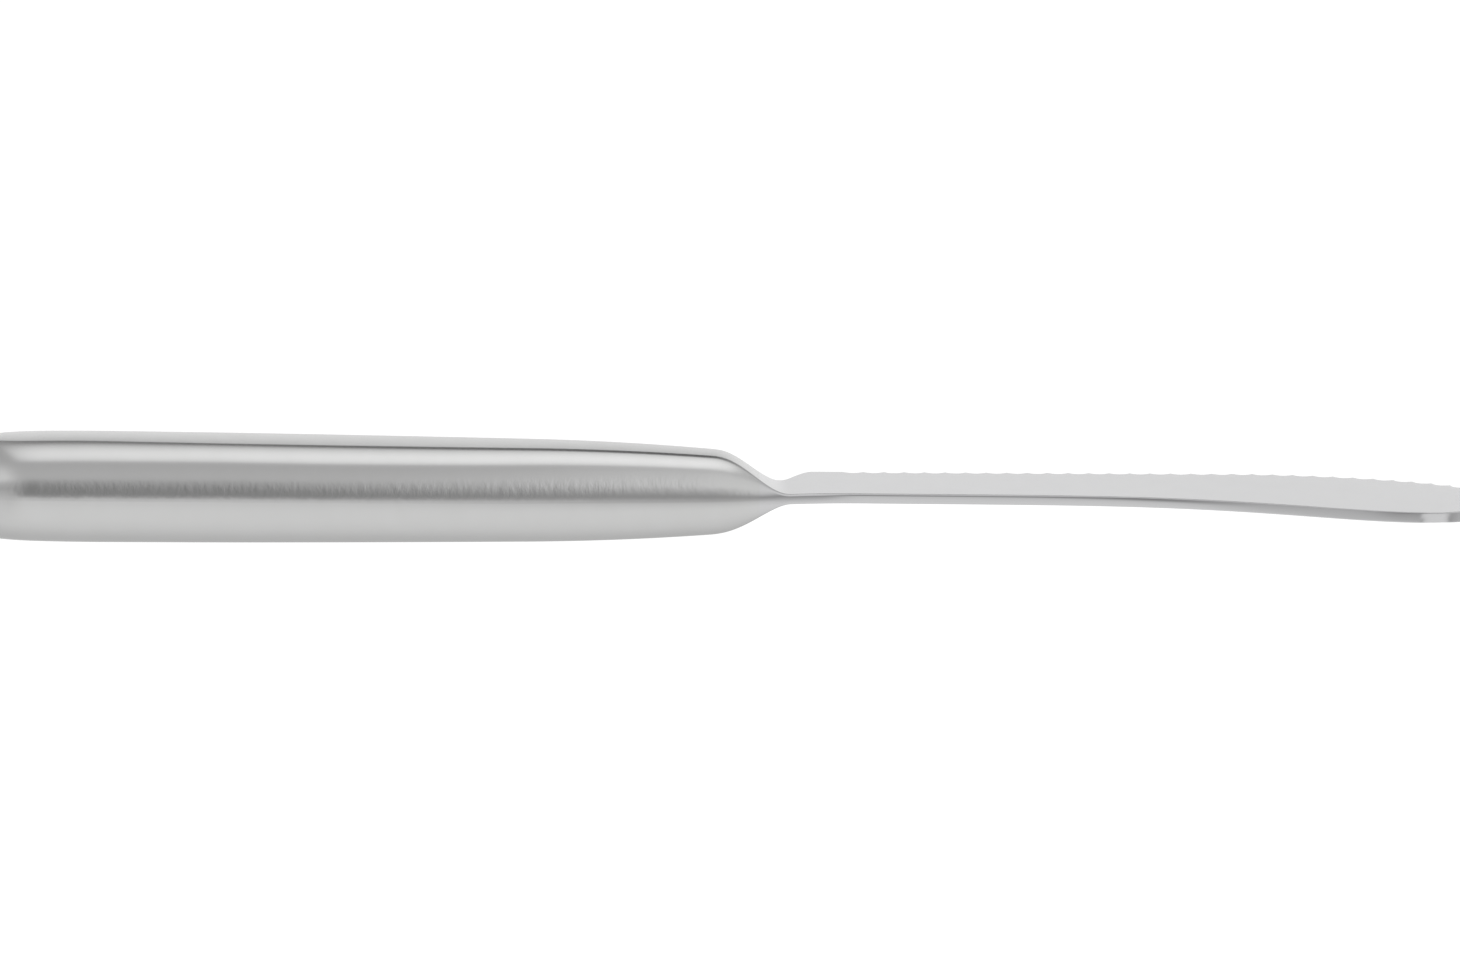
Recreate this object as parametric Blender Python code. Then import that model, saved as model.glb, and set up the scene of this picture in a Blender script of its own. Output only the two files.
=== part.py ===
"""Hollow-handled spreader knife with a serrated blade.

Two pressed half-shells form the handle and meet in the blade's plane. The blade is one forging with a neck,
a spigot that centres it in the handle's mouth and a keyed tang, which a cement core holds inside the shells.

The knife is modelled along +X from butt to tip, with the cutting edge towards +Y and its middle plane at
z = 0. It is then pitched so that the flat underside of the tapered handle lies on z = 0, with the origin at
the middle of that flat.
"""

import math

import bmesh
import bpy
from mathutils import Matrix, Vector

# Lengths along the knife, in metres
HANDLE_LENGTH = 0.0819  # butt to shoulder
NECK_LENGTH = 0.0090  # shoulder to the full thinness of the blade
NECK_POWER = 1.27  # above 1, the neck keeps the handle's thickness for longer
BLADE_LENGTH = 0.0791  # end of the neck to the tip

# Thickness of the handle
END_THICKNESS = 0.0106  # at the butt
BUTT_THICKNESS = 0.01123  # where the flat faces start
WAIST_THICKNESS = 0.0104  # where the flat faces end
SHOULDER_THICKNESS = 0.0088  # just before the neck
FLAT_START = 0.0160  # butt to the start of the flat faces
SHOULDER_RUN = 0.0200  # end of the flat faces to the shoulder

# Width of the handle and of the flat faces on it
BUTT_WIDTH = 0.0184
PALM_WIDTH = 0.0182
SHOULDER_WIDTH = 0.0130
BUTT_FACE = 0.0066
PALM_FACE = 0.0073
SHOULDER_FACE = 0.0049
PALM_X = 0.0324  # butt to where the handle starts to narrow
NOSE_LENGTH = 0.0090  # length of the rounded end of the butt
NOSE_POWER = 2.5  # a superellipse: 2 is round, higher is squarer
END_INSET = 0.0018  # the end of the flat face stands this far inside the butt
SIDE_ARC = math.radians(68.0)  # how far the side's elliptic arc rises towards the flat face
SIDE_FADE = 1.5  # power with which the rounded sides give way to the blade's square rim along the neck

# Plan of the neck, as distances from the centre line
SPINE_LEAD = 0.0005  # the spine side starts to narrow this far before the shoulder
SPINE_RUN = 0.0079  # and is narrow this far after the neck
CHOIL_DELAY = 0.0010  # the edge side starts to narrow this far after the shoulder
CHOIL_LEAD = 0.0027  # and is narrowest this far before the end of the neck
CHOIL_Y = 0.0020
HEEL_LENGTH = 0.0052  # notch to the start of the cutting edge

# Blade
BLADE_THICKNESS = 0.0011
CREST_THICKNESS = 0.0008  # where the bevel of the cutting edge starts
EDGE_BEVEL = 0.0008  # width of that bevel
EDGE_ROUND = 0.00025  # rounding of the blade's rim elsewhere
HEEL_Y = 0.0114  # centre line to the cutting edge, at the heel
EDGE_Y = 0.0124  # and where the edge starts to curve to the tip
SPINE_Y = 0.0036  # centre line to the straight part of the spine
SPINE_STRAIGHT = 0.0157  # end of the neck to where the spine starts to flare
BELLY_Y = 0.0119  # centre line to the widest place of the flare
BELLY_SETBACK = 0.0104  # that place to the tip
TIP_Y = 0.0013  # the tip lies this far to the spine side
TIP_SWEEP = 0.0291  # length over which the cutting edge curves to the tip
TIP_POWER = 1.88  # superellipse of that curve

# Serrations
TOOTH_PITCH = 0.00229
TOOTH_DEPTH = 0.00065
FIRST_TOOTH = 0.0033  # heel to the first tooth
TIP_MARGIN = 0.0060  # plain edge before the tip

# Inside the handle
SHELL_WALL = 0.0008
CLEARANCE = 0.0003
TANG_THICKNESS = 0.0016
TANG_STEP = 0.0002  # shoulder between the spigot and the tang's faces
TANG_LENGTH = 0.0450
TANG_WAISTS = 2  # shallow waists that key the tang into the cement
TANG_WAIST_DEPTH = 0.0005
SPIGOT_LENGTH = 0.0020

# Facets
NOSE_STEPS = 8
BODY_STEPS = 12
SHOULDER_STEPS = 9
NECK_STEPS = 10
TOOTH_STEPS = 4
TIP_STEPS = 7
HEEL_STEPS = 3
TANG_STEPS = 16
HANDLE_ARC_STEPS = 8
CORE_ARC_STEPS = 4
BLADE_ARC_STEPS = 3
PATH_STEPS = 240
SHARP_ANGLE = math.radians(11.0)
MERGE_DISTANCE = 1e-5

# Finish
BLADE_TONE = 0.66
SHELL_TONE = 0.62
STEEL_ROUGHNESS = 0.27
CEMENT_COLOUR = (0.50, 0.48, 0.44, 1.0)
CEMENT_ROUGHNESS = 0.9

SHOULDER_X = HANDLE_LENGTH
NECK_X = SHOULDER_X + NECK_LENGTH
TIP_X = NECK_X + BLADE_LENGTH
FLAT_END = SHOULDER_X - SHOULDER_RUN
CHOIL_X = NECK_X - CHOIL_LEAD
HEEL_X = CHOIL_X + HEEL_LENGTH
BELLY_X = TIP_X - BELLY_SETBACK
EDGE_END_X = TIP_X - TIP_SWEEP
MOUTH_THICKNESS = TANG_THICKNESS + 2 * (TANG_STEP + CLEARANCE + SHELL_WALL)


def ease(share):
    """Smooth rise from 0 to 1 while the share goes from 0 to 1."""
    share = min(max(share, 0.0), 1.0)
    return share * share * (3.0 - 2.0 * share)


def eased(x, start, end, first, last):
    """Value at x that goes smoothly from first at start to last at end."""
    return first + (last - first) * ease((x - start) / (end - start))


def spread(start, end, steps):
    """Evenly spaced values from start to end, both included."""
    return [start + (end - start) * step / steps for step in range(steps + 1)]


# Profiles along the knife


def taper_slope():
    """Loss of half thickness per length along the flat faces."""
    return (BUTT_THICKNESS - WAIST_THICKNESS) / 2 / (FLAT_END - FLAT_START)


def handle_half_thickness(x):
    """Half thickness of the handle: a straight taper that droops smoothly at both ends."""
    line = BUTT_THICKNESS / 2 - taper_slope() * (x - FLAT_START)
    if x < FLAT_START:
        droop = BUTT_THICKNESS / 2 + taper_slope() * FLAT_START - END_THICKNESS / 2
        return line - droop * ((FLAT_START - x) / FLAT_START) ** 2
    if x > FLAT_END:
        droop = WAIST_THICKNESS / 2 - taper_slope() * SHOULDER_RUN - SHOULDER_THICKNESS / 2
        return line - droop * ((x - FLAT_END) / SHOULDER_RUN) ** 2
    return line


def neck_share(x):
    """1 on the handle and 0 on the blade, with an S-curve along the neck."""
    share = max((x - SHOULDER_X) / NECK_LENGTH, 0.0)
    return 1.0 - ease(share**NECK_POWER)


def half_thickness(x):
    """Half thickness of the whole knife at its flat faces."""
    blade = BLADE_THICKNESS / 2
    return blade + (handle_half_thickness(min(x, NECK_X)) - blade) * neck_share(x)


def handle_half(x, butt, palm, shoulder):
    """Half of a width that is given at the butt, at the palm and at the shoulder."""
    if x < PALM_X:
        return eased(x, NOSE_LENGTH, PALM_X, butt, palm) / 2
    share = (x - PALM_X) / (SHOULDER_X - PALM_X)
    return (palm - (palm - shoulder) * share * share) / 2


def spine_half_width(x):
    """Distance from the centre line to the spine side, up to the widest place of the blade."""
    handle = handle_half(x, BUTT_WIDTH, PALM_WIDTH, SHOULDER_WIDTH)
    flare_start = NECK_X + SPINE_STRAIGHT
    if x < flare_start:
        return eased(x, SHOULDER_X - SPINE_LEAD, NECK_X + SPINE_RUN, handle, SPINE_Y)
    share = (x - flare_start) / (BELLY_X - flare_start)
    return SPINE_Y + (BELLY_Y - SPINE_Y) * ease(share * share)


def edge_half_width(x):
    """Distance from the centre line to the edge side, up to the straight cutting edge."""
    handle = handle_half(x, BUTT_WIDTH, PALM_WIDTH, SHOULDER_WIDTH)
    if x < CHOIL_X:
        return eased(x, SHOULDER_X + CHOIL_DELAY, CHOIL_X, handle, CHOIL_Y)
    return eased(x, CHOIL_X, HEEL_X, CHOIL_Y, HEEL_Y)


def side_inset(x):
    """How far the edge of the flat face stands inside the outline."""
    width = handle_half(x, BUTT_WIDTH, PALM_WIDTH, SHOULDER_WIDTH)
    face = handle_half(x, BUTT_FACE, PALM_FACE, SHOULDER_FACE)
    return EDGE_ROUND + (width - face - EDGE_ROUND) * neck_share(x) ** SIDE_FADE


def mouth_x():
    """Where the neck is as thick as the mouth has to be, found by halving."""
    low = SHOULDER_X
    high = NECK_X
    while high - low > MERGE_DISTANCE:
        middle = (low + high) / 2
        if half_thickness(middle) > MOUTH_THICKNESS / 2:
            low = middle
        else:
            high = middle
    return low


MOUTH_X = mouth_x()


# Cross-sections


class Rung:
    """One cross-section: outline and face edge on the spine side and on the edge side, with half heights."""

    def __init__(self, spine, spine_face, spine_height, edge, edge_face, edge_height):
        self.spine = Vector(spine)
        self.spine_face = Vector(spine_face)
        self.spine_height = spine_height
        self.edge = Vector(edge)
        self.edge_face = Vector(edge_face)
        self.edge_height = edge_height


def level_rung(x, inset=0.0):
    """Section square to the knife at x, moved inwards by inset."""
    height = half_thickness(x)
    share = (height - inset) / height
    round_in = side_inset(x) * share
    spine = spine_half_width(x) - inset
    edge = edge_half_width(x) - inset
    bevel_in = round_in
    edge_height = height
    if x > CHOIL_X:
        bevel_in = eased(x, CHOIL_X, HEEL_X, round_in, EDGE_BEVEL)
        edge_height = eased(x, CHOIL_X, HEEL_X, height, CREST_THICKNESS / 2)
    return Rung(
        (x, -spine),
        (x, round_in - spine),
        height - inset,
        (x, edge),
        (x, edge - bevel_in),
        edge_height - inset,
    )


def nose_rung(angle, inset=0.0):
    """Section at an angle around the rounded butt: 0 at its end, a quarter turn where the sides start."""
    along = math.cos(angle) ** (2 / NOSE_POWER)
    across = math.sin(angle) ** (2 / NOSE_POWER)
    side = level_rung(NOSE_LENGTH, inset)
    x = NOSE_LENGTH - (NOSE_LENGTH - inset) * along
    face_x = NOSE_LENGTH - (NOSE_LENGTH - inset - END_INSET) * along
    height = handle_half_thickness(face_x) - inset
    width = side.edge.y * across
    face = side.edge_face.y * across
    return Rung((x, -width), (face_x, -face), height, (x, width), (face_x, face), height)


def tang_rung(x, sides, margin):
    """Rectangular section of the tang, or of the pocket around it, grown by margin."""
    spine = sides[0] - margin
    edge = sides[1] + margin
    height = TANG_THICKNESS / 2 + margin
    rounding = min(EDGE_ROUND, height / 2)
    return Rung((x, spine), (x, spine + rounding), height, (x, edge), (x, edge - rounding), height)


def arc_points(outline, face, height, steps, lowest=0.0):
    """Side of a section from the outline, at height lowest, up to the edge of the flat face."""
    points = []
    first = math.asin(math.sin(SIDE_ARC) * lowest / height)
    for angle in spread(first, SIDE_ARC, steps):
        share = (1.0 - math.cos(angle)) / (1.0 - math.cos(SIDE_ARC))
        flat = outline.lerp(face, share)
        points.append(Vector((flat.x, flat.y, height * math.sin(angle) / math.sin(SIDE_ARC))))
    return points


def upper_half(rung, steps, lowest=0.0):
    """Points over the top of a section, from the spine side to the edge side."""
    spine = arc_points(rung.spine, rung.spine_face, rung.spine_height, steps, lowest)
    edge = arc_points(rung.edge, rung.edge_face, rung.edge_height, steps, lowest)
    return spine + edge[::-1]


def whole_ring(rung, steps):
    """Closed ring of points around a section."""
    top = upper_half(rung, steps)
    bottom = [Vector((p.x, p.y, -p.z)) for p in top[-2:0:-1]]
    return top + bottom


# Meshes


def lofted_mesh(name, rings, fill_end, loose_pairs=()):
    """Closed mesh through rings of equally many points.

    The first ring folds flat onto itself. The last one is filled, or loose_pairs joins its points across the
    wall of a hollow section.
    """
    bm = bmesh.new()
    rows = [[bm.verts.new(point) for point in ring] for ring in rings]
    for row, following in zip(rows, rows[1:]):
        for index in range(len(row)):
            after = (index + 1) % len(row)
            bm.faces.new((row[index], row[after], following[after], following[index]))
    if fill_end:
        bm.faces.new(rows[-1])
    for (inner, outer), (next_inner, next_outer) in zip(loose_pairs, loose_pairs[1:]):
        last = rows[-1]
        bm.faces.new((last[inner], last[next_inner], last[next_outer], last[outer]))
    bmesh.ops.remove_doubles(bm, verts=bm.verts, dist=MERGE_DISTANCE)
    bmesh.ops.recalc_face_normals(bm, faces=bm.faces)
    mesh = bpy.data.meshes.new(name)
    bm.to_mesh(mesh)
    bm.free()
    mesh.shade_smooth()
    mesh.set_sharp_from_angle(angle=SHARP_ANGLE)
    return mesh


def handle_rungs(inset, end_x):
    """Sections of the handle's surface, moved inwards by inset, from the butt to end_x."""
    rungs = [nose_rung(angle, inset) for angle in spread(0.0, math.pi / 2, NOSE_STEPS)[:-1]]
    stations = [NOSE_LENGTH]
    stations += spread(FLAT_START, FLAT_END, BODY_STEPS)
    stations += spread(FLAT_END, SHOULDER_X, SHOULDER_STEPS)[1:]
    stations += spread(SHOULDER_X, end_x, NECK_STEPS)[1:]
    return rungs + [level_rung(x, inset) for x in stations]


def shell_mesh(name, side):
    """Half-shell of the handle; side is 1 for the upper one and -1 for the lower one."""
    lowest = CLEARANCE / 2
    outer = [upper_half(rung, HANDLE_ARC_STEPS, lowest) for rung in handle_rungs(0.0, MOUTH_X)]
    inner = [upper_half(rung, HANDLE_ARC_STEPS, lowest) for rung in handle_rungs(SHELL_WALL, MOUTH_X)]
    rings = []
    for outside, inside in zip(outer, inner):
        ring = outside + inside[::-1]
        rings.append([Vector((p.x, p.y, side * p.z)) for p in ring])
    count = len(outer[0])
    pairs = [(2 * count - 1 - index, index) for index in range(count)]
    return lofted_mesh(name, rings, False, pairs)


def mouth_rung(x):
    """Section of the spigot at x, which fits the handle's mouth with clearance."""
    rung = level_rung(MOUTH_X, SHELL_WALL + CLEARANCE)
    for point in (rung.spine, rung.spine_face, rung.edge, rung.edge_face):
        point.x = x
    return rung


def tang_sides(share):
    """Spine side and edge side of the tang at a share of its length, with the waists that key it."""
    root = mouth_rung(MOUTH_X)
    waist = TANG_WAIST_DEPTH * math.sin(math.pi * TANG_WAISTS * share) ** 2
    return root.spine_face.y + waist, root.edge_face.y - waist


def filler_mesh(name):
    """Cement core: the shells' inside with clearance, and a pocket cast around the tang."""
    front = MOUTH_X - SPIGOT_LENGTH - CLEARANCE
    rungs = handle_rungs(SHELL_WALL + CLEARANCE, front)
    for share in spread(0.0, 1.0, TANG_STEPS):
        rungs.append(tang_rung(front - share * TANG_LENGTH, tang_sides(share), CLEARANCE))
    return lofted_mesh(name, [whole_ring(rung, CORE_ARC_STEPS) for rung in rungs], True)


# Outline of the blade


def spine_path():
    """Outline from the heel along the spine side and round the belly to the tip."""
    path = [Vector((x, -spine_half_width(x))) for x in spread(HEEL_X, BELLY_X, PATH_STEPS)]
    for angle in spread(0.0, math.pi / 2, PATH_STEPS)[1:]:
        along = BELLY_SETBACK * math.sin(angle)
        across = (BELLY_Y - TIP_Y) * math.cos(angle)
        path.append(Vector((BELLY_X + along, -TIP_Y - across)))
    return path


def edge_path():
    """Outline from the heel along the cutting edge to the tip, without its teeth."""
    path = [Vector((HEEL_X, HEEL_Y)), Vector((EDGE_END_X, EDGE_Y))]
    for angle in spread(0.0, math.pi / 2, PATH_STEPS)[1:]:
        along = TIP_SWEEP * math.sin(angle) ** (2 / TIP_POWER)
        across = (EDGE_Y + TIP_Y) * math.cos(angle) ** (2 / TIP_POWER)
        path.append(Vector((EDGE_END_X + along, across - TIP_Y)))
    return path


def path_length(path):
    return sum((b - a).length for a, b in zip(path, path[1:]))


def points_along(path, distances):
    """Points and directions at the given distances along a path."""
    found = []
    walked = 0.0
    index = 0
    for distance in distances:
        while index < len(path) - 2 and walked + (path[index + 1] - path[index]).length < distance:
            walked += (path[index + 1] - path[index]).length
            index += 1
        step = path[index + 1] - path[index]
        share = min((distance - walked) / step.length, 1.0)
        found.append((path[index].lerp(path[index + 1], share), step.normalized()))
    return found


def tooth_stations(length):
    """Distances along the cutting edge of the sections, and how deep each lies in a tooth gap."""
    teeth = int((length - FIRST_TOOTH - TIP_MARGIN) / TOOTH_PITCH)
    toothed = FIRST_TOOTH + teeth * TOOTH_PITCH
    stations = [(distance, 0.0) for distance in spread(0.0, FIRST_TOOTH, HEEL_STEPS)[1:-1]]
    for step in range(teeth * TOOTH_STEPS + 1):
        share = step % TOOTH_STEPS / TOOTH_STEPS
        depth = TOOTH_DEPTH * (1.0 - (2.0 * share - 1.0) ** 2)
        stations.append((FIRST_TOOTH + step * TOOTH_PITCH / TOOTH_STEPS, depth))
    stations += [(distance, 0.0) for distance in spread(toothed, length, TIP_STEPS)[1:]]
    return stations, toothed


def blade_rungs():
    """Sections of the blade from the heel to the tip."""
    edge = edge_path()
    spine = spine_path()
    length = path_length(edge)
    stations, toothed = tooth_stations(length)
    distances = [distance for distance, depth in stations]
    scale = path_length(spine) / length
    edge_points = points_along(edge, distances)
    spine_points = points_along(spine, [distance * scale for distance in distances])
    rungs = []
    for (distance, depth), (edge_point, edge_way), (spine_point, spine_way) in zip(
        stations, edge_points, spine_points
    ):
        edge_in = Vector((edge_way.y, -edge_way.x))
        spine_in = Vector((-spine_way.y, spine_way.x))
        edge_height = eased(distance, toothed, length, CREST_THICKNESS / 2, BLADE_THICKNESS / 2)
        bevel = eased(distance, toothed, length, EDGE_BEVEL, EDGE_ROUND)
        tooth = edge_point + depth * edge_in
        rungs.append(
            Rung(
                spine_point,
                spine_point + EDGE_ROUND * spine_in,
                BLADE_THICKNESS / 2,
                tooth,
                tooth + bevel * edge_in,
                edge_height,
            )
        )
    return rungs


def blade_mesh(name):
    """Tang, spigot, bolster, neck and blade as one forging."""
    back = MOUTH_X - SPIGOT_LENGTH
    front = MOUTH_X + CLEARANCE
    tang = [
        tang_rung(back - share * TANG_LENGTH, tang_sides(share), 0.0)
        for share in spread(1.0, 0.0, TANG_STEPS)
    ]
    spigot = [mouth_rung(back), mouth_rung(front)]
    neck = [level_rung(x) for x in spread(front, HEEL_X, NECK_STEPS + HEEL_STEPS)]
    rungs = tang + spigot + neck + blade_rungs()
    rings = [whole_ring(rung, BLADE_ARC_STEPS) for rung in rungs]
    return lofted_mesh(name, rings[::-1], True)


# Objects


def steel(name, tone):
    """Satin stainless steel."""
    material = bpy.data.materials.new(name)
    material.use_nodes = True
    shader = material.node_tree.nodes["Principled BSDF"]
    shader.inputs["Base Color"].default_value = (tone, tone, tone, 1.0)
    shader.inputs["Metallic"].default_value = 1.0
    shader.inputs["Roughness"].default_value = STEEL_ROUGHNESS
    return material


def cement(name):
    """Pale grey cement."""
    material = bpy.data.materials.new(name)
    material.use_nodes = True
    shader = material.node_tree.nodes["Principled BSDF"]
    shader.inputs["Base Color"].default_value = CEMENT_COLOUR
    shader.inputs["Roughness"].default_value = CEMENT_ROUGHNESS
    return material


def add_piece(mesh, material, parent):
    """Object for one piece, placed with the knife."""
    mesh.materials.append(material)
    piece = bpy.data.objects.new(mesh.name, mesh)
    piece.parent = parent
    bpy.context.scene.collection.objects.link(piece)


def knife_frame():
    """Empty that lays the underside of the handle level, with its middle at the origin."""
    frame = bpy.data.objects.new("knife", None)
    pitch = math.atan(taper_slope())
    middle = (FLAT_START + FLAT_END) / 2
    rest = Vector((middle, 0.0, -half_thickness(middle)))
    frame.rotation_euler = (0.0, pitch, 0.0)
    frame.location = -(Matrix.Rotation(pitch, 3, "Y") @ rest)
    bpy.context.scene.collection.objects.link(frame)
    return frame


def main():
    for old in list(bpy.data.objects):
        bpy.data.objects.remove(old)
    frame = knife_frame()
    add_piece(blade_mesh("blade"), steel("blade steel", BLADE_TONE), frame)
    add_piece(shell_mesh("upper_handle_shell", 1.0), steel("upper shell steel", SHELL_TONE), frame)
    add_piece(shell_mesh("lower_handle_shell", -1.0), steel("lower shell steel", SHELL_TONE), frame)
    add_piece(filler_mesh("handle_filler"), cement("cement"), frame)


main()
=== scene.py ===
"""Looks of the spreader knife: fine satin steel surfaces in a white studio.

The pieces repeat the CAD source's sizes and curves with finer steps and rounded corners. They are modelled
along +X from butt to tip, with the cutting edge towards +Y and the middle plane at z = 0, and are then
pitched so that the knife lies on the flat underside of its tapered handle.
"""

import math
from typing import NamedTuple

import bmesh
import bpy
from mathutils import Matrix, Vector


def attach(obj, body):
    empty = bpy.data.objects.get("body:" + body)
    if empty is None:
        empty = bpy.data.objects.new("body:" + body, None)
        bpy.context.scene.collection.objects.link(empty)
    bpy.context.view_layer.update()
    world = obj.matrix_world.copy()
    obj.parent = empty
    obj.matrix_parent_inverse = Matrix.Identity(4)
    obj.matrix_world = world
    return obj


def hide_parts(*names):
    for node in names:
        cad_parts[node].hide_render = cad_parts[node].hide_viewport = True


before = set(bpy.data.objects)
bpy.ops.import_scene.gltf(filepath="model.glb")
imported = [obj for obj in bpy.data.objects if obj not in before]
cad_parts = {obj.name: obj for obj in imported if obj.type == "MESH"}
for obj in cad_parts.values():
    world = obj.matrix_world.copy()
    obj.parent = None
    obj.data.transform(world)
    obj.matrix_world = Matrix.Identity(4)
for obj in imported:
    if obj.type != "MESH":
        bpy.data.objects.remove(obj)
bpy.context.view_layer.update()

# Lengths along the knife, in metres
HANDLE_LENGTH = 0.0819  # butt to shoulder
NECK_LENGTH = 0.0090  # shoulder to the full thinness of the blade
NECK_POWER = 1.27  # above 1, the neck keeps the handle's thickness for longer
BLADE_LENGTH = 0.0791  # end of the neck to the tip

# Thickness of the handle
END_THICKNESS = 0.0106  # at the butt
BUTT_THICKNESS = 0.01123  # where the flat faces start
WAIST_THICKNESS = 0.0104  # where the flat faces end
SHOULDER_THICKNESS = 0.0088  # just before the neck
FLAT_START = 0.0160  # butt to the start of the flat faces
SHOULDER_RUN = 0.0200  # end of the flat faces to the shoulder

# Width of the handle and of the flat faces on it
BUTT_WIDTH = 0.0184
PALM_WIDTH = 0.0182
SHOULDER_WIDTH = 0.0130
BUTT_FACE = 0.0066
PALM_FACE = 0.0073
SHOULDER_FACE = 0.0049
PALM_X = 0.0324  # butt to where the handle starts to narrow
NOSE_LENGTH = 0.0090  # length of the rounded end of the butt
NOSE_POWER = 2.5  # a superellipse: 2 is round, higher is squarer
END_INSET = 0.0018  # the end of the flat face stands this far inside the butt
SIDE_ARC = math.radians(68.0)  # how far the side's elliptic arc rises towards the flat face
SIDE_FADE = 1.5  # power with which the rounded sides give way to the blade's square rim along the neck

# Plan of the neck, as distances from the centre line
SPINE_LEAD = 0.0005  # the spine side starts to narrow this far before the shoulder
SPINE_RUN = 0.0079  # and is narrow this far after the neck
CHOIL_DELAY = 0.0010  # the edge side starts to narrow this far after the shoulder
CHOIL_LEAD = 0.0027  # and is narrowest this far before the end of the neck
CHOIL_Y = 0.0020
HEEL_LENGTH = 0.0052  # notch to the start of the cutting edge

# Blade
BLADE_THICKNESS = 0.0011
CREST_THICKNESS = 0.0008  # where the bevel of the cutting edge starts
EDGE_BEVEL = 0.0008  # width of that bevel
RIM_BULGE = 0.00008  # how far the rim bulges along the spine
FLARE_BULGE = 0.00001  # and at the widest place of the flare
BULGE_FADE = 0.0240  # length over which it comes to bulge less
SPINE_LEAN = math.radians(-4.5)  # the rim leans forward along the straight spine
SPINE_LEAN_RUN = 0.0050  # length from the heel over which it comes to do so
FLARE_LEAN_LEAD = 0.0060  # it starts to turn back this far before the spine flares
FLARE_LEAN = math.radians(6.0)  # and leans back where the flare is widest
FACET_LEAN = math.radians(-13.0)  # beyond that place, a short facet leans forward
FACET_LENGTH = 0.0019
FACET_BLEND = 0.0006  # half of the length over which the lean changes there
TIP_LEAN = math.radians(8.0)  # then the rim leans back again, and it is upright at the tip
TIP_RUN = 0.0010  # length over which it comes to lean back
HEEL_Y = 0.0114  # centre line to the cutting edge, at the heel
EDGE_Y = 0.0124  # and where the edge starts to curve to the tip
SPINE_Y = 0.0036  # centre line to the straight part of the spine
SPINE_STRAIGHT = 0.0157  # end of the neck to where the spine starts to flare
BELLY_Y = 0.0119  # centre line to the widest place of the flare
BELLY_SETBACK = 0.0104  # that place to the tip
TIP_Y = 0.0013  # the tip lies this far to the spine side
TIP_SWEEP = 0.0291  # length over which the cutting edge curves to the tip
TIP_POWER = 1.88  # superellipse of that curve

# Serrations
TOOTH_PITCH = 0.00229
TOOTH_DEPTH = 0.00065
FIRST_TOOTH = 0.0033  # heel to the first tooth
TIP_MARGIN = 0.0060  # plain edge before the tip

# Inside the handle
SHELL_WALL = 0.0008
CLEARANCE = 0.0003
TANG_THICKNESS = 0.0016
TANG_STEP = 0.0002  # shoulder between the spigot and the tang's faces
TANG_LENGTH = 0.0450
TANG_WAISTS = 2  # shallow waists that key the tang into the cement
TANG_WAIST_DEPTH = 0.0005
TANG_ROUND = 0.00025
SPIGOT_LENGTH = 0.0020

# Rounding of the crease between the sides and the flat faces
BUTT_CORNER = 0.00018
WAIST_CORNER = 0.00040
BLADE_CORNER = 0.0002
TIP_CORNER = 0.00008

# The upper face of the handle is crowned and slopes this much at the crease
BUTT_CROWN = math.radians(3.0)
WAIST_CROWN = math.radians(2.0)

# Steps of the fine meshes
NOSE_STEPS = 32
BODY_STEPS = 110
NECK_STEPS = 48
TOOTH_STEPS = 12
TIP_STEPS = 24
HEEL_STEPS = 10
TANG_STEPS = 16
HANDLE_ARC_STEPS = 28
BLADE_ARC_STEPS = 8
CORNER_STEPS = 4
FACE_STEPS = 10
PATH_STEPS = 480
SHARP_ANGLE = math.radians(30.0)
MERGE_DISTANCE = 2e-6
ANGLE_STEP = math.radians(0.02)

# Photograph
PHOTO_WIDTH = 1460
FOCAL_PIXELS = 7264
SENSOR_WIDTH = 36.0
VIEW_ELEVATION = math.radians(10.5)
VIEW_DISTANCE = 0.8
VIEW_TARGET = Vector((0.045249, 0.000091, 0.005518))

SHOULDER_X = HANDLE_LENGTH
NECK_X = SHOULDER_X + NECK_LENGTH
TIP_X = NECK_X + BLADE_LENGTH
FLAT_END = SHOULDER_X - SHOULDER_RUN
CHOIL_X = NECK_X - CHOIL_LEAD
HEEL_X = CHOIL_X + HEEL_LENGTH
BELLY_X = TIP_X - BELLY_SETBACK
EDGE_END_X = TIP_X - TIP_SWEEP
MOUTH_THICKNESS = TANG_THICKNESS + 2 * (TANG_STEP + CLEARANCE + SHELL_WALL)


def ease(share):
    """Smooth rise from 0 to 1 while the share goes from 0 to 1."""
    share = min(max(share, 0.0), 1.0)
    return share * share * (3.0 - 2.0 * share)


def eased(x, start, end, first, last):
    """Value at x that goes smoothly from first at start to last at end."""
    return first + (last - first) * ease((x - start) / (end - start))


def spread(start, end, steps):
    """Evenly spaced values from start to end, both included."""
    return [start + (end - start) * step / steps for step in range(steps + 1)]


# Profiles along the knife


def taper_slope():
    """Loss of half thickness per length along the flat faces."""
    return (BUTT_THICKNESS - WAIST_THICKNESS) / 2 / (FLAT_END - FLAT_START)


def handle_half_thickness(x):
    """Half thickness of the handle: a straight taper that droops smoothly at both ends."""
    line = BUTT_THICKNESS / 2 - taper_slope() * (x - FLAT_START)
    if x < FLAT_START:
        droop = BUTT_THICKNESS / 2 + taper_slope() * FLAT_START - END_THICKNESS / 2
        return line - droop * ((FLAT_START - x) / FLAT_START) ** 2
    if x > FLAT_END:
        droop = WAIST_THICKNESS / 2 - taper_slope() * SHOULDER_RUN - SHOULDER_THICKNESS / 2
        return line - droop * ((x - FLAT_END) / SHOULDER_RUN) ** 2
    return line


def neck_share(x):
    """1 on the handle and 0 on the blade, with an S-curve along the neck."""
    share = max((x - SHOULDER_X) / NECK_LENGTH, 0.0)
    return 1.0 - ease(share**NECK_POWER)


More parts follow.
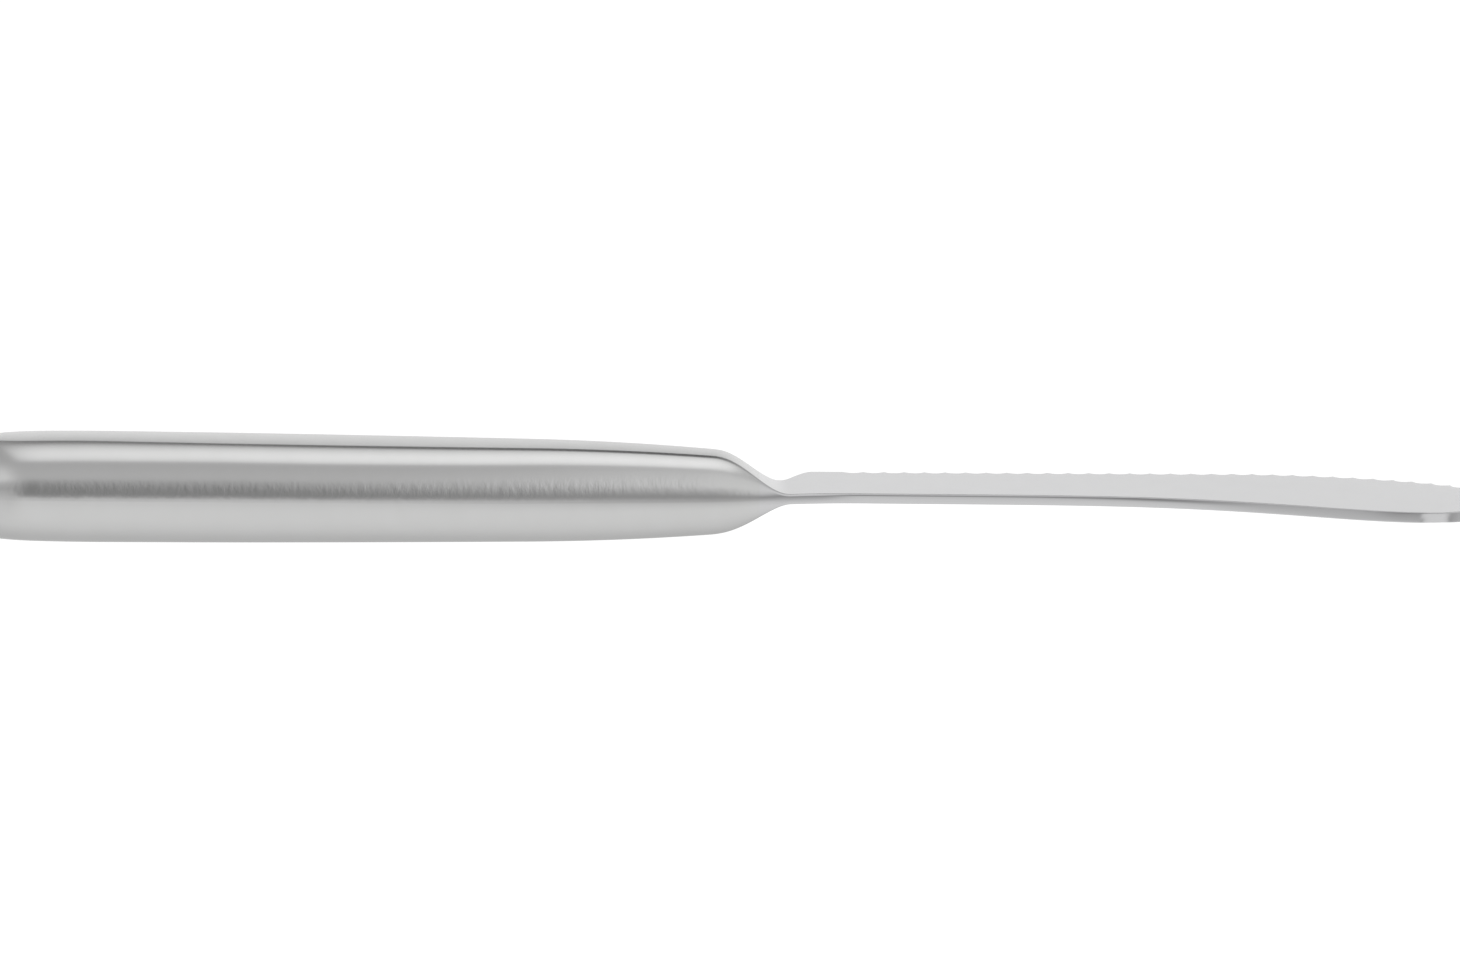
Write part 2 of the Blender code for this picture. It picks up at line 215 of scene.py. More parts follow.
def half_thickness(x):
    """Half thickness of the whole knife at its flat faces."""
    blade = BLADE_THICKNESS / 2
    return blade + (handle_half_thickness(min(x, NECK_X)) - blade) * neck_share(x)


def handle_half(x, butt, palm, shoulder):
    """Half of a width that is given at the butt, at the palm and at the shoulder."""
    if x < PALM_X:
        return eased(x, NOSE_LENGTH, PALM_X, butt, palm) / 2
    share = (x - PALM_X) / (SHOULDER_X - PALM_X)
    return (palm - (palm - shoulder) * share * share) / 2


def spine_half_width(x):
    """Distance from the centre line to the spine side, up to the widest place of the blade."""
    handle = handle_half(x, BUTT_WIDTH, PALM_WIDTH, SHOULDER_WIDTH)
    flare_start = NECK_X + SPINE_STRAIGHT
    if x < flare_start:
        return eased(x, SHOULDER_X - SPINE_LEAD, NECK_X + SPINE_RUN, handle, SPINE_Y)
    share = (x - flare_start) / (BELLY_X - flare_start)
    return SPINE_Y + (BELLY_Y - SPINE_Y) * ease(share * share)


def edge_half_width(x):
    """Distance from the centre line to the edge side, up to the straight cutting edge."""
    handle = handle_half(x, BUTT_WIDTH, PALM_WIDTH, SHOULDER_WIDTH)
    if x < CHOIL_X:
        return eased(x, SHOULDER_X + CHOIL_DELAY, CHOIL_X, handle, CHOIL_Y)
    return eased(x, CHOIL_X, HEEL_X, CHOIL_Y, HEEL_Y)


def side_inset(x):
    """How far the edge of the flat face stands inside the outline."""
    width = handle_half(x, BUTT_WIDTH, PALM_WIDTH, SHOULDER_WIDTH)
    face = handle_half(x, BUTT_FACE, PALM_FACE, SHOULDER_FACE)
    return RIM_BULGE + (width - face - RIM_BULGE) * neck_share(x) ** SIDE_FADE


def corner_size(x):
    """Length of the rounding on each side of the crease."""
    handle = eased(x, NOSE_LENGTH, FLAT_END, BUTT_CORNER, WAIST_CORNER)
    return BLADE_CORNER + (handle - BLADE_CORNER) * neck_share(x)


def crown_slope(x):
    """Slope of the face at the crease."""
    return math.tan(eased(x, NOSE_LENGTH, FLAT_END, BUTT_CROWN, WAIST_CROWN)) * neck_share(x)


def mouth_x():
    """Where the neck is as thick as the mouth has to be, found by halving."""
    low = SHOULDER_X
    high = NECK_X
    while high - low > MERGE_DISTANCE:
        middle = (low + high) / 2
        if half_thickness(middle) > MOUTH_THICKNESS / 2:
            low = middle
        else:
            high = middle
    return low


MOUTH_X = mouth_x()


# Cross-sections


class Rung(NamedTuple):
    """One cross-section: outline, face edge and half height on the spine side and on the edge side.

    corner is the length of the rounding on each side of the crease, crown the slope of the upper face there,
    and lean what the spine side moves inwards for each metre above the middle plane.
    """

    spine: Vector
    spine_face: Vector
    spine_height: float
    edge: Vector
    edge_face: Vector
    edge_height: float
    corner: float
    crown: float = 0.0
    lean: Vector = Vector((0.0, 0.0))


def level_rung(x, inset=0.0):
    """Section square to the knife at x, moved inwards by inset."""
    height = half_thickness(x)
    share = (height - inset) / height
    round_in = side_inset(x) * share
    spine = spine_half_width(x) - inset
    edge = edge_half_width(x) - inset
    bevel_in = round_in
    edge_height = height
    if x > CHOIL_X:
        bevel_in = eased(x, CHOIL_X, HEEL_X, round_in, EDGE_BEVEL)
        edge_height = eased(x, CHOIL_X, HEEL_X, height, CREST_THICKNESS / 2)
    return Rung(
        Vector((x, -spine)),
        Vector((x, round_in - spine)),
        height - inset,
        Vector((x, edge)),
        Vector((x, edge - bevel_in)),
        edge_height - inset,
        corner_size(x),
        crown_slope(x),
    )


def nose_rung(angle, inset=0.0):
    """Section at an angle around the rounded butt: 0 at its end, a quarter turn where the sides start."""
    along = math.cos(angle) ** (2 / NOSE_POWER)
    across = math.sin(angle) ** (2 / NOSE_POWER)
    side = level_rung(NOSE_LENGTH, inset)
    x = NOSE_LENGTH - (NOSE_LENGTH - inset) * along
    face_x = NOSE_LENGTH - (NOSE_LENGTH - inset - END_INSET) * along
    height = handle_half_thickness(face_x) - inset
    width = side.edge.y * across
    face = side.edge_face.y * across
    return Rung(
        Vector((x, -width)),
        Vector((face_x, -face)),
        height,
        Vector((x, width)),
        Vector((face_x, face)),
        height,
        BUTT_CORNER,
        crown_slope(x),
    )


def tang_rung(x, sides):
    """Rectangular section of the tang."""
    spine, edge = sides
    height = TANG_THICKNESS / 2
    return Rung(
        Vector((x, spine)),
        Vector((x, spine + TANG_ROUND)),
        height,
        Vector((x, edge)),
        Vector((x, edge - TANG_ROUND)),
        height,
        BLADE_CORNER,
    )


def side_points(outline, face, height, corner, crown, steps):
    """Side of a section: up its elliptic arc from the middle plane and round the corner onto the face."""
    rise = math.sin(SIDE_ARC)
    reach = 1.0 - math.cos(SIDE_ARC)
    inward = face - outline

    def on_arc(angle):
        flat = outline + inward * (1.0 - math.cos(angle)) / reach
        return Vector((flat.x, flat.y, height * math.sin(angle) / rise))

    peak = on_arc(SIDE_ARC)
    low = 0.0
    high = SIDE_ARC
    while high - low > ANGLE_STEP:
        middle = (low + high) / 2
        if (peak - on_arc(middle)).length > corner:
            low = middle
        else:
            high = middle
    points = [on_arc(angle) for angle in spread(0.0, low, steps)]
    start = points[-1]
    end = peak + (corner * inward.normalized()).to_3d() + Vector((0.0, 0.0, corner * crown))
    for share in spread(0.0, 1.0, CORNER_STEPS)[1:]:
        points.append(start.lerp(peak, share).lerp(peak.lerp(end, share), share))
    return points


def half_ring(rung, side, steps):
    """Crowned upper half of a section (side 1) or flat lower half (side -1), from the spine to the edge."""
    crown = rung.crown if side > 0 else 0.0
    spine = side_points(rung.spine, rung.spine_face, rung.spine_height, rung.corner, crown, steps)
    edge = side_points(rung.edge, rung.edge_face, rung.edge_height, rung.corner, crown, steps)
    spine = [p + (side * p.z * rung.lean).to_3d() for p in spine]
    span = (edge[-1] - spine[-1]).length
    across = []
    for angle in spread(0.0, math.pi, FACE_STEPS)[1:-1]:
        share = (1.0 - math.cos(angle)) / 2
        crest = Vector((0.0, 0.0, crown * span * share * (1.0 - share)))
        across.append(spine[-1].lerp(edge[-1], share) + crest)
    return [Vector((p.x, p.y, side * p.z)) for p in spine + across + edge[::-1]]


def whole_ring(rung, steps):
    """Closed ring of points around a section."""
    return half_ring(rung, 1.0, steps) + half_ring(rung, -1.0, steps)[-2:0:-1]


# Meshes


def lofted_mesh(name, rings, fill_end, loose_pairs=()):
    """Closed mesh through rings of equally many points.

    The first ring folds flat onto itself. The last one is filled, or loose_pairs joins its points across the
    wall of a hollow section.
    """
    bm = bmesh.new()
    rows = [[bm.verts.new(point) for point in ring] for ring in rings]
    for row, following in zip(rows, rows[1:]):
        for index in range(len(row)):
            after = (index + 1) % len(row)
            bm.faces.new((row[index], row[after], following[after], following[index]))
    if fill_end:
        bm.faces.new(rows[-1])
    for (inner, outer), (next_inner, next_outer) in zip(loose_pairs, loose_pairs[1:]):
        last = rows[-1]
        bm.faces.new((last[inner], last[next_inner], last[next_outer], last[outer]))
    bmesh.ops.remove_doubles(bm, verts=bm.verts, dist=MERGE_DISTANCE)
    bmesh.ops.recalc_face_normals(bm, faces=bm.faces)
    mesh = bpy.data.meshes.new(name)
    bm.to_mesh(mesh)
    bm.free()
    mesh.shade_smooth()
    mesh.set_sharp_from_angle(angle=SHARP_ANGLE)
    return mesh


def handle_rungs(inset):
    """Sections of the handle's surface, moved inwards by inset, from the butt to the mouth."""
    rungs = [nose_rung(angle, inset) for angle in spread(0.0, math.pi / 2, NOSE_STEPS)[:-1]]
    stations = spread(NOSE_LENGTH, SHOULDER_X, BODY_STEPS)
    stations += spread(SHOULDER_X, MOUTH_X, NECK_STEPS)[1:]
    return rungs + [level_rung(x, inset) for x in stations]


def shell_mesh(name, side):
    """Half-shell of the handle; side is 1 for the upper one and -1 for the lower one."""
    rings = []
    for outer, inner in zip(handle_rungs(0.0), handle_rungs(SHELL_WALL)):
        outside = half_ring(outer, side, HANDLE_ARC_STEPS)
        inside = half_ring(inner, side, HANDLE_ARC_STEPS)
        rings.append(outside + inside[::-1])
    count = len(rings[0]) // 2
    pairs = [(2 * count - 1 - index, index) for index in range(count)]
    return lofted_mesh(name, rings, False, pairs)


def mouth_rung(x):
    """Section of the spigot at x, which fits the handle's mouth with clearance."""
    rung = level_rung(MOUTH_X, SHELL_WALL + CLEARANCE)
    for point in (rung.spine, rung.spine_face, rung.edge, rung.edge_face):
        point.x = x
    return rung._replace(corner=BLADE_CORNER)


def tang_sides(share):
    """Spine side and edge side of the tang at a share of its length, with the waists that key it."""
    root = mouth_rung(MOUTH_X)
    waist = TANG_WAIST_DEPTH * math.sin(math.pi * TANG_WAISTS * share) ** 2
    return root.spine_face.y + waist, root.edge_face.y - waist


# Outline of the blade


def spine_path():
    """Outline from the heel along the spine side and round the belly to the tip."""
    path = [Vector((x, -spine_half_width(x))) for x in spread(HEEL_X, BELLY_X, PATH_STEPS)]
    for angle in spread(0.0, math.pi / 2, PATH_STEPS)[1:]:
        along = BELLY_SETBACK * math.sin(angle)
        across = (BELLY_Y - TIP_Y) * math.cos(angle)
        path.append(Vector((BELLY_X + along, -TIP_Y - across)))
    return path


def edge_path():
    """Outline from the heel along the cutting edge to the tip, without its teeth."""
    path = [Vector((HEEL_X, HEEL_Y)), Vector((EDGE_END_X, EDGE_Y))]
    for angle in spread(0.0, math.pi / 2, PATH_STEPS)[1:]:
        along = TIP_SWEEP * math.sin(angle) ** (2 / TIP_POWER)
        across = (EDGE_Y + TIP_Y) * math.cos(angle) ** (2 / TIP_POWER)
        path.append(Vector((EDGE_END_X + along, across - TIP_Y)))
    return path


def path_length(path):
    """Length of a path of straight steps."""
    return sum((b - a).length for a, b in zip(path, path[1:]))


def points_along(path, distances):
    """Points and directions at the given distances along a path."""
    found = []
    walked = 0.0
    index = 0
    for distance in distances:
        while index < len(path) - 2 and walked + (path[index + 1] - path[index]).length < distance:
            walked += (path[index + 1] - path[index]).length
            index += 1
        step = path[index + 1] - path[index]
        share = min((distance - walked) / step.length, 1.0)
        found.append((path[index].lerp(path[index + 1], share), step.normalized()))
    return found


def tooth_stations(length):
    """Distances along the cutting edge of the sections, and how deep each lies in a tooth gap."""
    teeth = int((length - FIRST_TOOTH - TIP_MARGIN) / TOOTH_PITCH)
    toothed = FIRST_TOOTH + teeth * TOOTH_PITCH
    stations = [(distance, 0.0) for distance in spread(0.0, FIRST_TOOTH, HEEL_STEPS)[1:-1]]
    for step in range(teeth * TOOTH_STEPS + 1):
        share = step % TOOTH_STEPS / TOOTH_STEPS
        depth = TOOTH_DEPTH * (1.0 - (2.0 * share - 1.0) ** 2)
        stations.append((FIRST_TOOTH + step * TOOTH_PITCH / TOOTH_STEPS, depth))
    stations += [(distance, 0.0) for distance in spread(toothed, length, TIP_STEPS)[1:]]
    return stations, toothed


def rim_lean(x):
    """Angle by which the rim of the spine side leans back."""
    back_start = NECK_X + SPINE_STRAIGHT - FLARE_LEAN_LEAD
    facet_end = BELLY_X + FACET_LENGTH
    if x < back_start:
        return SPINE_LEAN * ease((x - HEEL_X) / SPINE_LEAN_RUN)
    if x < BELLY_X - FACET_BLEND:
        return eased(x, back_start, BELLY_X - FACET_BLEND, SPINE_LEAN, FLARE_LEAN)
    if x < facet_end:
        return eased(x, BELLY_X - FACET_BLEND, BELLY_X + FACET_BLEND, FLARE_LEAN, FACET_LEAN)
    if x < facet_end + TIP_RUN:
        return eased(x, facet_end, facet_end + TIP_RUN, FACET_LEAN, TIP_LEAN)
    return eased(x, facet_end + TIP_RUN, TIP_X, TIP_LEAN, 0.0)


def blade_rungs():
    """Sections of the blade from the heel to the tip."""
    edge = edge_path()
    spine = spine_path()
    length = path_length(edge)
    stations, toothed = tooth_stations(length)
    distances = [distance for distance, depth in stations]
    scale = path_length(spine) / length
    edge_points = points_along(edge, distances)
    spine_points = points_along(spine, [distance * scale for distance in distances])
    rungs = []
    for (distance, depth), (edge_point, edge_way), (spine_point, spine_way) in zip(
        stations, edge_points, spine_points
    ):
        edge_in = Vector((edge_way.y, -edge_way.x))
        spine_in = Vector((-spine_way.y, spine_way.x))
        bulge = eased(spine_point.x, BELLY_X - BULGE_FADE, BELLY_X, RIM_BULGE, FLARE_BULGE)
        edge_height = eased(distance, toothed, length, CREST_THICKNESS / 2, BLADE_THICKNESS / 2)
        bevel = eased(distance, toothed, length, EDGE_BEVEL, FLARE_BULGE)
        tooth = edge_point + depth * edge_in
        rungs.append(
            Rung(
                spine_point,
                spine_point + bulge * spine_in,
                BLADE_THICKNESS / 2,
                tooth,
                tooth + bevel * edge_in,
                edge_height,
                eased(spine_point.x, HEEL_X, BELLY_X, BLADE_CORNER, TIP_CORNER),
                lean=math.tan(rim_lean(spine_point.x)) * spine_in,
            )
        )
    return rungs


def blade_mesh(name):
    """Tang, spigot, bolster, neck and blade as one forging."""
    back = MOUTH_X - SPIGOT_LENGTH
    tang = [
        tang_rung(back - share * TANG_LENGTH, tang_sides(share))
        for share in spread(1.0, 0.0, TANG_STEPS)
    ]
    spigot = [mouth_rung(back), mouth_rung(MOUTH_X)]
    neck = [level_rung(x) for x in spread(MOUTH_X, HEEL_X, NECK_STEPS)]
    rungs = tang + spigot + neck + blade_rungs()
    rings = [whole_ring(rung, BLADE_ARC_STEPS) for rung in rungs]
    return lofted_mesh(name, rings[::-1], True)


# Shader nodes

# Most noise values lie between these
NOISE_LOW = 0.3
NOISE_HIGH = 0.7


def new_material(name):
    """Empty node material with its Principled shader."""
    material = bpy.data.materials.new(name)
    material.use_nodes = True
    return material, material.node_tree, material.node_tree.nodes["Principled BSDF"]


def object_place(tree):
    """Coordinates of the piece."""
    return tree.nodes.new("ShaderNodeTexCoord").outputs["Object"]


def noise(tree, scale, detail):
    """Noise in the piece's own coordinates, with its own scale along each axis."""
    mapping = tree.nodes.new("ShaderNodeMapping")
    texture = tree.nodes.new("ShaderNodeTexNoise")
    mapping.inputs["Scale"].default_value = scale
    texture.inputs["Scale"].default_value = 1.0
    texture.inputs["Detail"].default_value = detail
    tree.links.new(object_place(tree), mapping.inputs["Vector"])
    tree.links.new(mapping.outputs["Vector"], texture.inputs["Vector"])
    return texture.outputs["Fac"]


def ranged(tree, value, low, high):
    """Value that goes from low to high with a noise value."""
    node = tree.nodes.new("ShaderNodeMapRange")
    node.inputs["From Min"].default_value = NOISE_LOW
    node.inputs["From Max"].default_value = NOISE_HIGH
    node.inputs["To Min"].default_value = low
    node.inputs["To Max"].default_value = high
    tree.links.new(value, node.inputs["Value"])
    return node.outputs["Result"]


def mixed(tree, factor, first, second):
    """Mix of two colours; each is a colour or a socket."""
    node = tree.nodes.new("ShaderNodeMix")
    node.data_type = "RGBA"
    tree.links.new(factor, node.inputs["Factor"])
    for name, colour in (("A", first), ("B", second)):
        if isinstance(colour, tuple):
            node.inputs[name].default_value = (*colour, 1.0)
        else:
            tree.links.new(colour, node.inputs[name])
    return node.outputs["Result"]


def bumped(tree, height, distance):
    """Normal roughened by a height that is given in metres by distance."""
    node = tree.nodes.new("ShaderNodeBump")
    node.inputs["Strength"].default_value = 1.0
    node.inputs["Distance"].default_value = distance
    tree.links.new(height, node.inputs["Height"])
    return node.outputs["Normal"]


def math_node(tree, operation, *values):
    """Result of a Math node; each value is a number or a socket."""
    node = tree.nodes.new("ShaderNodeMath")
    node.operation = operation
    for socket, value in zip(node.inputs, values):
        if isinstance(value, (int, float)):
            socket.default_value = value
        else:
            tree.links.new(value, socket)
    return node.outputs["Value"]


def remainder(tree, share):
    """What a share leaves of 1, but not less than 0."""
    return math_node(tree, "MAXIMUM", math_node(tree, "SUBTRACT", 1.0, share), 0.0)


def squared_share(tree, value, middle, half):
    """Square of the distance from the middle, where the half size counts as 1."""
    share = math_node(tree, "DIVIDE", math_node(tree, "SUBTRACT", value, middle), half)
    return math_node(tree, "MULTIPLY", share, share)


# Materials

BLADE_STEEL = (0.652, 0.652, 0.660)
BLADE_CLOUD = (0.646, 0.646, 0.654)
BLADE_ROUGHNESS = 0.16
HANDLE_STEEL = (0.650, 0.650, 0.648)
HANDLE_CLOUD = (0.640, 0.640, 0.636)
HANDLE_ROUGHNESS = 0.20
ROUGHNESS_WEAR = 0.005  # the roughness varies by this much either way
GRAZING_TINT = 0.85  # share of the shine that is left at grazing angles
CLOUD_SCALE = (420.0, 260.0, 260.0)
CLOUD_DETAIL = 2.0
SCRATCH_SCALE = (1400.0, 700.0, 700.0)  # finest along the handle, so that the scratches run across it
SCRATCH_DETAIL = 3.0
SCRATCH_DEPTH = 0.000014
SCRATCH_HEIGHT = 0.0067  # scratches lie round this height on the sides
SCRATCH_SPREAD = 0.0014
CEMENT_DARK = (0.40, 0.38, 0.35)
CEMENT_PALE = (0.58, 0.56, 0.51)
CEMENT_ROUGHNESS = 0.9
GRAIN_SCALE = (2400.0, 2400.0, 2400.0)
GRAIN_DETAIL = 4.0
GRAIN_DEPTH = 0.0002


def satin_steel(name, tone, cloud_tone, roughness):
    """Stainless steel with a satin polish that is faintly cloudy."""
    material, tree, shader = new_material(name)
    cloud = noise(tree, CLOUD_SCALE, CLOUD_DETAIL)
    shader.inputs["Metallic"].default_value = 1.0
    shader.inputs["Specular Tint"].default_value = (GRAZING_TINT, GRAZING_TINT, GRAZING_TINT, 1.0)
    colour = mixed(tree, ranged(tree, cloud, 0.0, 1.0), tone, cloud_tone)
    tree.links.new(colour, shader.inputs["Base Color"])
    worn = ranged(tree, cloud, roughness - ROUGHNESS_WEAR, roughness + ROUGHNESS_WEAR)
    tree.links.new(worn, shader.inputs["Roughness"])
    return material


def scratched_steel(name, tone, cloud_tone, roughness):
    """Satin steel whose rounded sides have fine scratches across the handle."""
    material = satin_steel(name, tone, cloud_tone, roughness)
    tree = material.node_tree
    scratch = ranged(tree, noise(tree, SCRATCH_SCALE, SCRATCH_DETAIL), 0.0, 1.0)
    axes = tree.nodes.new("ShaderNodeSeparateXYZ")
    tree.links.new(object_place(tree), axes.inputs["Vector"])
    off_band = squared_share(tree, axes.outputs["Z"], SCRATCH_HEIGHT, SCRATCH_SPREAD)
    height = math_node(tree, "MULTIPLY", scratch, remainder(tree, off_band))
    shader = tree.nodes["Principled BSDF"]
    tree.links.new(bumped(tree, height, SCRATCH_DEPTH), shader.inputs["Normal"])
    return material


def cement(name):
    """Pale grey cement with sandy grains."""
    material, tree, shader = new_material(name)
    grain = noise(tree, GRAIN_SCALE, GRAIN_DETAIL)
    colour = mixed(tree, ranged(tree, grain, 0.0, 1.0), CEMENT_DARK, CEMENT_PALE)
    tree.links.new(colour, shader.inputs["Base Color"])
    shader.inputs["Roughness"].default_value = CEMENT_ROUGHNESS
    tree.links.new(bumped(tree, grain, GRAIN_DEPTH), shader.inputs["Normal"])
    return material


# Pieces


def knife_pose():
    """Lays the underside of the handle level, with its middle at the origin."""
    turn = Matrix.Rotation(math.atan(taper_slope()), 4, "Y")
    middle = (FLAT_START + FLAT_END) / 2
    return turn @ Matrix.Translation((-middle, 0.0, half_thickness(middle)))


def add_piece(mesh, material, node):
    """Object that stands for a CAD node and rides on the knife's one body."""
    mesh.materials.append(material)
    mesh.transform(knife_pose())
    piece = bpy.data.objects.new(mesh.name, mesh)
    bpy.context.scene.collection.objects.link(piece)
    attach(piece, "root")
    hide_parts(node)


# Studio

# Light from each direction across the knife, in degrees from the front horizon up over the top and down
# behind: its level from either side, from straight ahead and from ahead on the right
STUDIO = (
    (-180.0, 1.00, 1.00, 1.00),  # white sweep behind
    (-166.0, 0.82, 0.82, 0.82),  # table under the knife
    (-150.0, 0.67, 0.67, 0.67),
    (-126.0, 0.72, 0.72, 0.76),
    (-98.0, 0.83, 0.84, 0.84),
    (-70.0, 0.84, 0.90, 0.90),  # table in front
    (-40.0, 0.82, 0.90, 0.91),
    (-20.0, 0.76, 0.86, 0.80),
    (-5.0, 0.68, 0.78, 0.53),
    (6.0, 0.62, 0.36, 0.37),  # dark front of the room
    (14.0, 0.60, 0.31, 0.42),
    (28.0, 0.50, 0.36, 0.60),
    (45.0, 0.58, 0.49, 0.85),
    (60.0, 0.90, 0.61, 0.84),  # ceiling
    (80.0, 0.80, 0.57, 0.80),
    (100.0, 0.55, 0.52, 0.64),
    (133.0, 0.50, 0.50, 0.64),
    (164.0, 0.98, 0.98, 0.98),  # white sweep behind
    (170.0, 1.03, 1.03, 1.03),
    (180.0, 1.18, 1.18, 1.18),
)
# Shares of those three levels, by the sideways part of the direction
BEARINGS = (
    (-1.0, 1.0, 0.0, 0.0),
    (-0.5, 1.0, 0.0, 0.0),
    (-0.27, 0.0, 1.0, 0.0),
    (0.03, 0.0, 1.0, 0.0),
    (0.17, 0.0, 0.0, 1.0),
    (0.55, 0.0, 0.0, 1.0),
    (0.8, 1.0, 0.0, 0.0),
    (1.0, 1.0, 0.0, 0.0),
)


class Oval(NamedTuple):
    """Part of the room: middle and half size, across the knife in degrees and along it by sideways part."""

    angle: float
    half_angle: float
    side: float
    half_side: float


SOFTBOX = Oval(115.75, 18.25, 0.045, 0.295)  # softbox overhead; it fills its rectangle
SOFTBOX_GLOW = Oval(112.0, 16.0, 0.11, 0.27)  # its brightest part
SOFTBOX_LEVEL = 1.24
SOFTBOX_FALL = 0.25  # loss of level from the middle to the rim of that part
GAP = Oval(148.5, 14.5, 0.05, 0.50)  # dark gap between the softbox and the white sweep
GAP_LEVEL = 0.12
FLAG = Oval(34.0, 26.0, -0.15, 0.075)  # dark flag ahead on the left
FLAG_LEVEL = 0.20
REFLECTOR = Oval(32.0, 28.0, 0.53, 0.08)  # pale board ahead on the far right
REFLECTOR_LEVEL = 0.90


def ramp_node(tree, value, stops):
    """Colour looked up along stops of a value and three channels."""
    low = stops[0][0]
    high = stops[-1][0]
    ramp = tree.nodes.new("ShaderNodeValToRGB")
    spanned = tree.nodes.new("ShaderNodeMapRange")
    spanned.inputs["From Min"].default_value = low
    spanned.inputs["From Max"].default_value = high
    tree.links.new(value, spanned.inputs["Value"])
    tree.links.new(spanned.outputs["Result"], ramp.inputs["Fac"])
    elements = ramp.color_ramp.elements
    elements.remove(elements[1])
    for index, (place, *channels) in enumerate(stops):
        position = (place - low) / (high - low)
        element = elements[0] if index == 0 else elements.new(position)
        element.position = position
        element.color = (*channels, 1.0)
    return ramp.outputs["Color"]


def oval_shares(tree, oval, degrees, sideways):
    """Squared distances from an oval's middle, across and along the knife. They add up to 1 at its rim."""
    across = squared_share(tree, degrees, oval.angle, oval.half_angle)
    along = squared_share(tree, sideways, oval.side, oval.half_side)
    return across, along


def studio_world():
    """Studio round the knife, with a white background for the camera."""
    world = bpy.data.worlds.new("studio")
    world.use_nodes = True
    tree = world.node_tree
    place = tree.nodes.new("ShaderNodeTexCoord")
    axes = tree.nodes.new("ShaderNodeSeparateXYZ")
    tree.links.new(place.outputs["Generated"], axes.inputs["Vector"])
    sideways, backward, upward = axes.outputs
    angle = math_node(tree, "ARCTAN2", upward, math_node(tree, "MULTIPLY", backward, -1.0))
    degrees = math_node(tree, "DEGREES", angle)
    room = tree.nodes.new("ShaderNodeVectorMath")
    room.operation = "DOT_PRODUCT"
    tree.links.new(ramp_node(tree, degrees, STUDIO), room.inputs[0])
    tree.links.new(ramp_node(tree, sideways, BEARINGS), room.inputs[1])
    box_share = math_node(tree, "MAXIMUM", *oval_shares(tree, SOFTBOX, degrees, sideways))
    in_softbox = math_node(tree, "LESS_THAN", box_share, 1.0)
    glow_share = math_node(tree, "ADD", *oval_shares(tree, SOFTBOX_GLOW, degrees, sideways))
    softbox = math_node(tree, "MULTIPLY_ADD", glow_share, -SOFTBOX_FALL, SOFTBOX_LEVEL)
    lit = mixed(tree, in_softbox, room.outputs["Value"], softbox)
    gap_across, gap_along = oval_shares(tree, GAP, degrees, sideways)
    gap_depth = remainder(tree, math_node(tree, "SQRT", gap_along))
    in_gap = math_node(tree, "MULTIPLY", math_node(tree, "LESS_THAN", gap_across, 1.0), gap_depth)
    lit = mixed(tree, in_gap, lit, (GAP_LEVEL, GAP_LEVEL, GAP_LEVEL))
    for oval, level in ((FLAG, FLAG_LEVEL), (REFLECTOR, REFLECTOR_LEVEL)):
        in_oval = remainder(tree, math_node(tree, "ADD", *oval_shares(tree, oval, degrees, sideways)))
        lit = mixed(tree, in_oval, lit, (level, level, level))
    path = tree.nodes.new("ShaderNodeLightPath")
    seen = math_node(tree, "MAXIMUM", path.outputs["Is Camera Ray"], path.outputs["Is Transmission Ray"])
    tree.links.new(mixed(tree, seen, lit, (1.0, 1.0, 1.0)), tree.nodes["Background"].inputs["Color"])
    bpy.context.scene.world = world


FLOOR_SIZE = 6.0
FLOOR_DROP = 0.00003  # keeps the floor clear of the knife's underside
FLOOR_TONE = 0.85
FLOOR_GLOW = 0.86  # share of the floor's own white for the camera, so that only a faint shadow is left
FLOOR_WHITE = 1.16  # strength of that white


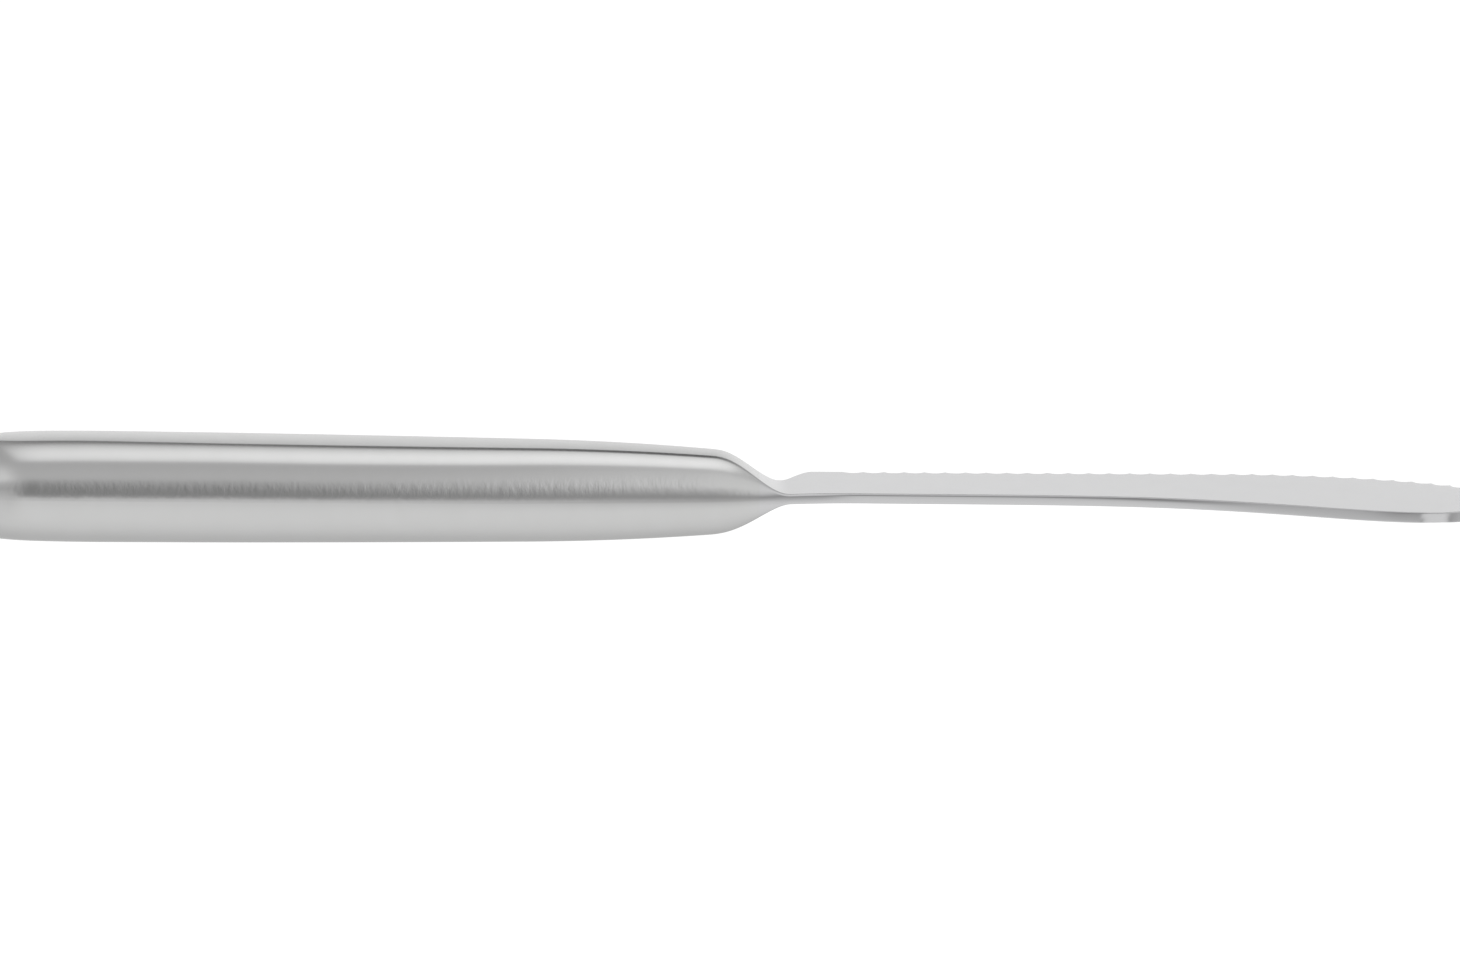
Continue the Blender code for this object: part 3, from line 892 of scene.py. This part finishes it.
def floor():
    """Pale floor that the camera sees as white with the knife's soft shadow."""
    half = FLOOR_SIZE / 2
    mesh = bpy.data.meshes.new("floor")
    corners = [(-half, -half, 0.0), (half, -half, 0.0), (half, half, 0.0), (-half, half, 0.0)]
    mesh.from_pydata(corners, [], [(0, 1, 2, 3)])
    material, tree, shader = new_material("floor")
    shader.inputs["Base Color"].default_value = (FLOOR_TONE, FLOOR_TONE, FLOOR_TONE, 1.0)
    shader.inputs["Roughness"].default_value = 1.0
    glow = tree.nodes.new("ShaderNodeEmission")
    glow.inputs["Strength"].default_value = FLOOR_WHITE
    path = tree.nodes.new("ShaderNodeLightPath")
    mix = tree.nodes.new("ShaderNodeMixShader")
    tree.links.new(math_node(tree, "MULTIPLY", path.outputs["Is Camera Ray"], FLOOR_GLOW), mix.inputs["Fac"])
    tree.links.new(shader.outputs["BSDF"], mix.inputs[1])
    tree.links.new(glow.outputs["Emission"], mix.inputs[2])
    tree.links.new(mix.outputs["Shader"], tree.nodes["Material Output"].inputs["Surface"])
    mesh.materials.append(material)
    plane = bpy.data.objects.new("floor", mesh)
    plane.location.z = -FLOOR_DROP
    plane.visible_glossy = False
    bpy.context.scene.collection.objects.link(plane)


def camera():
    """Camera where the photograph was taken from."""
    data = bpy.data.cameras.new("camera")
    data.sensor_width = SENSOR_WIDTH
    data.lens = FOCAL_PIXELS / PHOTO_WIDTH * SENSOR_WIDTH
    eye = bpy.data.objects.new("camera", data)
    back = Vector((0.0, -math.cos(VIEW_ELEVATION), math.sin(VIEW_ELEVATION)))
    eye.location = VIEW_TARGET + VIEW_DISTANCE * back
    eye.rotation_euler = (math.pi / 2 - VIEW_ELEVATION, 0.0, 0.0)
    bpy.context.scene.collection.objects.link(eye)
    bpy.context.scene.camera = eye


camera()
studio_world()
floor()
blade_steel = satin_steel("blade_steel", BLADE_STEEL, BLADE_CLOUD, BLADE_ROUGHNESS)
add_piece(blade_mesh("satin_blade"), blade_steel, "blade")
handle_steel = scratched_steel("handle_steel", HANDLE_STEEL, HANDLE_CLOUD, HANDLE_ROUGHNESS)
add_piece(shell_mesh("upper_handle", 1.0), handle_steel, "upper_handle_shell")
add_piece(shell_mesh("lower_handle", -1.0), handle_steel, "lower_handle_shell")
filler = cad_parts["handle_filler"]
filler.data.materials.clear()
filler.data.materials.append(cement("cement"))

bpy.context.scene.view_settings.view_transform = "Standard"
